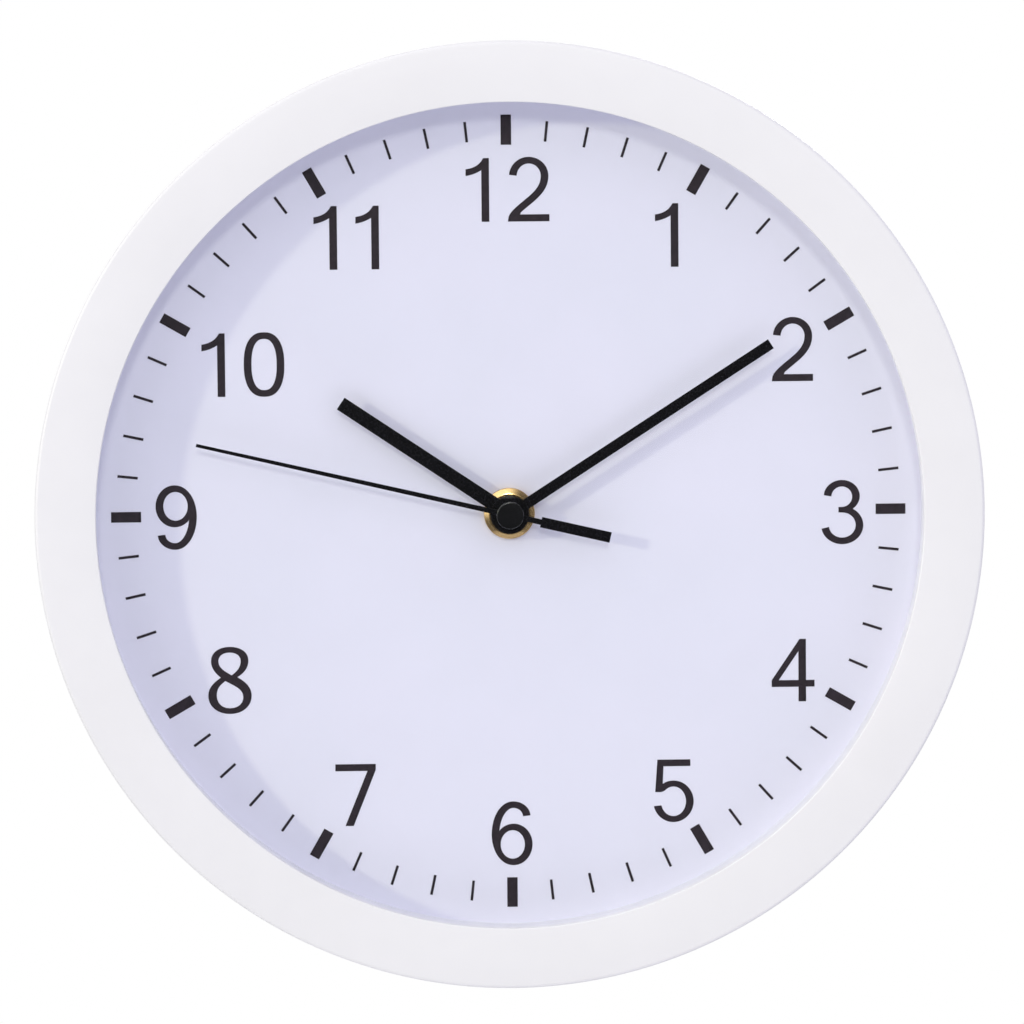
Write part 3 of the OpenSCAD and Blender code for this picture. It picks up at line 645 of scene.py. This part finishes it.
def build_posts():
    """The six screw posts inside the wall, each with a web to it."""
    base = extent("dial_sheet")[0].z
    top = GLASS_LOW.z - 0.3
    bm = bmesh.new()
    for a in map(math.radians, SCREW_ANGLES):
        stand = Matrix.Translation((SCREW_RING * math.cos(a), SCREW_RING * math.sin(a), 0))
        section = rounded([(1.25, base), (3.2, base), (3.2, top), (1.25, top)], 0.2, 2)
        add_turning(bm, section, 40, stand)
        web = [(3.0, -1.2), (4.4, -1.2), (4.4, 1.2), (3.0, 1.2)]
        web = [(x + SCREW_RING, y) for x, y in web]
        add_plate(bm, [turned_clockwise(web, -math.degrees(a))], base + 0.1, top - 0.1, 0.1, 2)
    piece("screw_posts", bm, "case", "case_white")


# ---- Hub and hands


def build_nut():
    r, z, t = NUT_HIGH.x, NUT_LOW.z, NUT_HIGH.z - NUT_LOW.z
    corners = [
        (BUSH_R, z), (r - 0.1, z), (r, z + 0.15), (r, z + t - 0.75), (r - 1.1, z + t - 0.05),
        (r - 1.35, z + t), (BUSH_R + 0.25, z + t), (BUSH_R, z + t - 0.25),
    ]
    profile = rounded(corners, [0, 0.05, 0.05, 0.18, 0.1, 0.1, 0.08, 0.05], 4)
    bm = add_turning(bmesh.new(), profile, 144)
    piece("hub_nut", bm, "case", "brass", ["bushing_nut"])


def hand_outline(width, length, boss_r):
    """A straight blade that grows out of a round boss and has a square tip."""
    half = width / 2
    meet = math.degrees(math.acos(half / boss_r))
    boss = arc((0, 0), boss_r, 180 - meet, 360 + meet, 80)
    return [(half, length), (-half, length)] + boss


def build_hand(name, node, body, angle, width, length, boss_r, bore, collar_r):
    low, high = extent(node)
    front, back = high.z, high.z - BLADE_T
    bm = bmesh.new()
    outline = turned_clockwise(hand_outline(width, length, boss_r), angle)
    add_plate(bm, [outline, circle((0, 0), bore, 64)], back, front, 0.07, 3)
    collar = [(bore, low.z), (collar_r, low.z), (collar_r, back - HAIR), (bore, back - HAIR)]
    add_turning(bm, rounded(collar, [0.05, 0.12, 0, 0], 3), 64)
    piece(name, bm, body, "hand_black", [node])


def build_second_hand():
    low, high = extent("second_hand")
    front, back = high.z, high.z - SECOND_BLADE_T
    neck, weight, weight_y, disc_r, tail, length = 0.65, 1.24, 7.4, 2.8, 24.0, 74.7
    root, tip, bore = 0.6, 0.38, 0.5
    wide = math.degrees(math.acos(root / disc_r))
    thin = math.degrees(math.acos(neck / disc_r))
    outline = (
        [(tip, length), (-tip, length)]
        + arc((0, 0), disc_r, 180 - wide, 180 + thin, 30)
        + [(-neck, -weight_y), (-weight, -weight_y), (-weight, -tail)]
        + [(weight, -tail), (weight, -weight_y), (neck, -weight_y)]
        + arc((0, 0), disc_r, 360 - thin, 360 + wide, 30)
    )
    bm = bmesh.new()
    loops = [turned_clockwise(outline, SECOND_ANGLE), circle((0, 0), bore, 40)]
    add_plate(bm, loops, back, front, 0.04, 3)
    tube = [(bore, low.z), (1.0, low.z), (1.0, back - HAIR), (bore, back - HAIR)]
    add_turning(bm, rounded(tube, [0.04, 0.1, 0, 0], 3), 48)
    piece("sweep_hand", bm, "seconds", "hand_black", ["second_hand"])


def build_cap():
    low, high = extent("second_hand_cap")
    r, bevel, steps = high.x, 0.32, 10
    shoulder = arc((r - bevel, high.z - 0.06 - bevel), bevel, 0, 87, 8)
    top_r, top_z = shoulder[-1]
    crown = [
        (top_r * (1 - i / steps), high.z - (high.z - top_z) * (1 - i / steps) ** 2)
        for i in range(1, steps + 1)
    ]
    profile = [(0, low.z), (r - 0.08, low.z), (r, low.z + 0.08)] + shoulder + crown
    bm = add_turning(bmesh.new(), profile, 120)
    piece("hub_cap", bm, "seconds", "hand_black", ["second_hand_cap"], CAP_LOOK, 50)


# ---- Cell


def build_cell():
    low, high = extent("battery_cell")
    middle = (low + high) / 2
    r, length = (high.y - low.y) / 2, high.x - low.x
    lie = Matrix.Translation((low.x, middle.y, middle.z)) @ Matrix.Rotation(math.pi / 2, 4, "Y")
    jacket = rounded(
        [(r - 1.6, 0.35), (r - 1.3, 0.1), (r, 0.1), (r, length - 0.1), (r - 1.1, length - 0.1),
         (r - 1.3, length - 0.45)],
        [0.1, 0.1, 0.5, 0.6, 0.1, 0.1],
        4,
    )
    bm = add_turning(bmesh.new(), jacket, 96, lie)
    piece("cell_jacket", bm, "battery", "cell_jacket", ["battery_cell"])
    ends = [
        (0, 0), (r - 3.2, 0), (r - 2.9, 0.3), (r - 1.62, 0.3), (r - 1.62, length - 0.4),
        (r - 3.9, length - 0.05), (r - 4.2, length), (0, length),
    ]
    bm = add_turning(bmesh.new(), ends, 96, lie)
    piece("cell_ends", bm, "battery", "steel", look=CELL_END_LOOK)


# ---- Moulded marks on the back: the cell's poles and the way to turn the knob


def build_marks():
    lid_low, lid_high = extent("movement_rear_lid")
    knob_low, knob_high = extent("setting_knob")
    knob = ((knob_low.x + knob_high.x) / 2, (knob_low.y + knob_high.y) / 2)
    low, high = lid_low.z - 0.16, lid_low.z + 0.02
    y = lid_low.y + 3.2
    bm = bmesh.new()
    plus = [
        (-0.35, -1.5), (0.35, -1.5), (0.35, -0.35), (1.5, -0.35), (1.5, 0.35), (0.35, 0.35),
        (0.35, 1.5), (-0.35, 1.5), (-0.35, 0.35), (-1.5, 0.35), (-1.5, -0.35), (-0.35, -0.35),
    ]
    x = lid_high.x - 5
    add_plate(bm, [[(px + x, py + y) for px, py in plus]], low, high, 0, 2, 0.06)
    minus = [(-1.5, -0.35), (1.5, -0.35), (1.5, 0.35), (-1.5, 0.35)]
    add_plate(bm, [[(px - x, py + y) for px, py in minus]], low, high, 0, 2, 0.06)
    r, w = knob_high.x - knob[0] + 2.2, 0.35
    for start, end, way in ((100, 170, 1), (10, -60, -1)):
        sweep = arc(knob, r + w, start, end, 14) + arc(knob, r - w, end, start, 14)
        a = math.radians(end)
        along = Vector((-math.sin(a), math.cos(a))) * way
        out = Vector((math.cos(a), math.sin(a)))
        tip = Vector(knob) + out * r
        head = [tuple(tip + out * 1.2), tuple(tip - out * 1.2), tuple(tip + along * 2.4)]
        add_plate(bm, [sweep], low, high, 0, 2, 0.05)
        add_plate(bm, [head], low - 0.004, high, 0, 2, 0.05)
    piece("moulded_marks", bm, "case", "movement_black", sharp=30)


build_case()
build_ring()
build_back()
build_posts()
build_nut()
build_hand(
    "hours_blade", "hour_hand", "hours", HOUR_ANGLE,
    width=3.3, length=47.1, boss_r=4.3, bore=2.5, collar_r=3.3,
)
build_hand(
    "minutes_blade", "minute_hand", "minutes", MINUTE_ANGLE,
    width=2.5, length=72.6, boss_r=4.45, bore=1.6, collar_r=2.4,
)
build_second_hand()
build_cap()
build_cell()
build_marks()


# ---- Floor, light and camera

# The room's colours from behind the camera (0) to behind the clock (1)
ROOM_BRIGHTNESS = 1.13
ROOM_COLOURS = [
    (0.0, (0.02, 0.02, 0.022)),
    (0.02, (0.02, 0.02, 0.022)),
    (0.07, (0.878, 0.878, 1.0)),
    (0.5, (0.878, 0.878, 1.0)),
    (0.62, (0.42, 0.42, 0.46)),
    (1.0, (0.42, 0.42, 0.46)),
]

# What shiny surfaces mirror: the room's brightness, and lamps as direction, the cosines at which
# the glow starts and is full, and strength
MIRRORED_ROOM = 0.12
MIRRORED_LAMPS = [((-0.62, -0.3, 0.72), 0.35, 0.85, 2.4), ((0.3, 0.85, 0.42), 0.5, 0.95, 1.1)]


def build_floor():
    """A plain pale disc well below the clock."""
    bm = bmesh.new()
    add_turning(bm, [(0, -20), (499, -20), (500, -19), (500, -1), (499, 0), (0, 0)], 128)
    bm.transform(Matrix.Translation((0, 0, -0.6)) @ Matrix.Scale(MM, 4))
    bmesh.ops.recalc_face_normals(bm, faces=bm.faces)
    mesh = bpy.data.meshes.new("floor")
    bm.to_mesh(mesh)
    bm.free()
    mesh.materials.append(plastic("floor_look", (0.8, 0.8, 0.8), 0.7, 0.01).material)
    floor = bpy.data.objects.new("floor", mesh)
    scene.collection.objects.link(floor)


def build_world():
    """An even white room, darker behind the camera so that the glass mirrors nothing bright.

    What shiny surfaces mirror is a dim room with two soft lamps, so that metal shows its shape."""
    world = bpy.data.worlds.new("studio")
    scene.world = world
    world.use_nodes = True
    sky = Nodes(world.node_tree)
    toward = sky.add("TexCoord").outputs["Generated"]
    split = sky.add("SeparateXYZ")
    sky.join(toward, split.inputs[0])
    depth = split.outputs["Y"]

    room = sky.add("Background")
    room.inputs["Strength"].default_value = ROOM_BRIGHTNESS
    sky.join(sky.ramp(sky.remap(depth, -1, 1, 0, 1), ROOM_COLOURS), room.inputs["Color"])

    glow = sky.remap(depth, -0.97, -0.85, 0.02, MIRRORED_ROOM)
    for direction, start, full, strength in MIRRORED_LAMPS:
        lamp = sky.add("VectorMath", operation="DOT_PRODUCT")
        lamp.inputs[1].default_value = Vector(direction).normalized()
        sky.join(toward, lamp.inputs[0])
        total = sky.add("Math", operation="ADD")
        sky.join(glow, total.inputs[0])
        sky.join(
            sky.remap(lamp.outputs["Value"], start, full, 0, strength, soft=True), total.inputs[1]
        )
        glow = total.outputs[0]
    mirrored = sky.add("Background")
    sky.join(glow, mirrored.inputs["Strength"])

    seen = sky.add("Background")
    for background in (mirrored, seen):
        background.inputs["Color"].default_value = (1, 1, 1, 1)
    path = sky.add("LightPath")
    shiny, all_rays = sky.add("MixShader"), sky.add("MixShader")
    sky.join(path.outputs["Is Glossy Ray"], shiny.inputs[0])
    sky.join(room.outputs[0], shiny.inputs[1])
    sky.join(mirrored.outputs[0], shiny.inputs[2])
    sky.join(path.outputs["Is Camera Ray"], all_rays.inputs[0])
    sky.join(shiny.outputs[0], all_rays.inputs[1])
    sky.join(seen.outputs[0], all_rays.inputs[2])
    sky.join(all_rays.outputs[0], sky.add("OutputWorld").inputs["Surface"])


def add_sun(name, direction, strength, colour, spread):
    """A far lamp; direction points from the clock to it, and spread is its width in degrees."""
    light = bpy.data.lights.new(name, "SUN")
    light.energy = strength
    light.color = colour
    light.angle = math.radians(spread)
    lamp = bpy.data.objects.new(name, light)
    lamp.rotation_euler = Vector(direction).to_track_quat("Z", "Y").to_euler()
    scene.collection.objects.link(lamp)


def build_camera():
    """A long lens a little above the clock's axis and to its left, as the clock was seen."""
    azimuth, elevation, distance, roll = -1.8, 4.5, 1.3, -0.5
    a, e = math.radians(azimuth), math.radians(elevation)
    away = Vector((math.sin(a) * math.cos(e), -math.cos(a) * math.cos(e), math.sin(e)))
    aim = Vector((0.00034, -0.034, 0.00102))
    data = bpy.data.cameras.new("camera")
    data.sensor_width = 36
    data.lens = 191.9
    data.clip_start, data.clip_end = 0.1, 20
    camera = bpy.data.objects.new("camera", data)
    camera.location = away * distance
    facing = (aim - camera.location).to_track_quat("-Z", "Y").to_matrix()
    camera.rotation_euler = (facing @ Matrix.Rotation(math.radians(roll), 3, "Z")).to_euler()
    scene.collection.objects.link(camera)
    scene.camera = camera


scene.view_settings.view_transform = "Standard"
build_floor()
build_world()
add_sun("key", (-0.79, -0.565, 0.21), 0.8, (1, 0.99, 0.66), 4)
add_sun("front", (0, -0.956, 0.292), 0.6, (1, 1, 0.9), 8)
add_sun("rear", (0.3, 0.85, 0.42), 0.8, (1, 1, 1), 12)
build_camera()
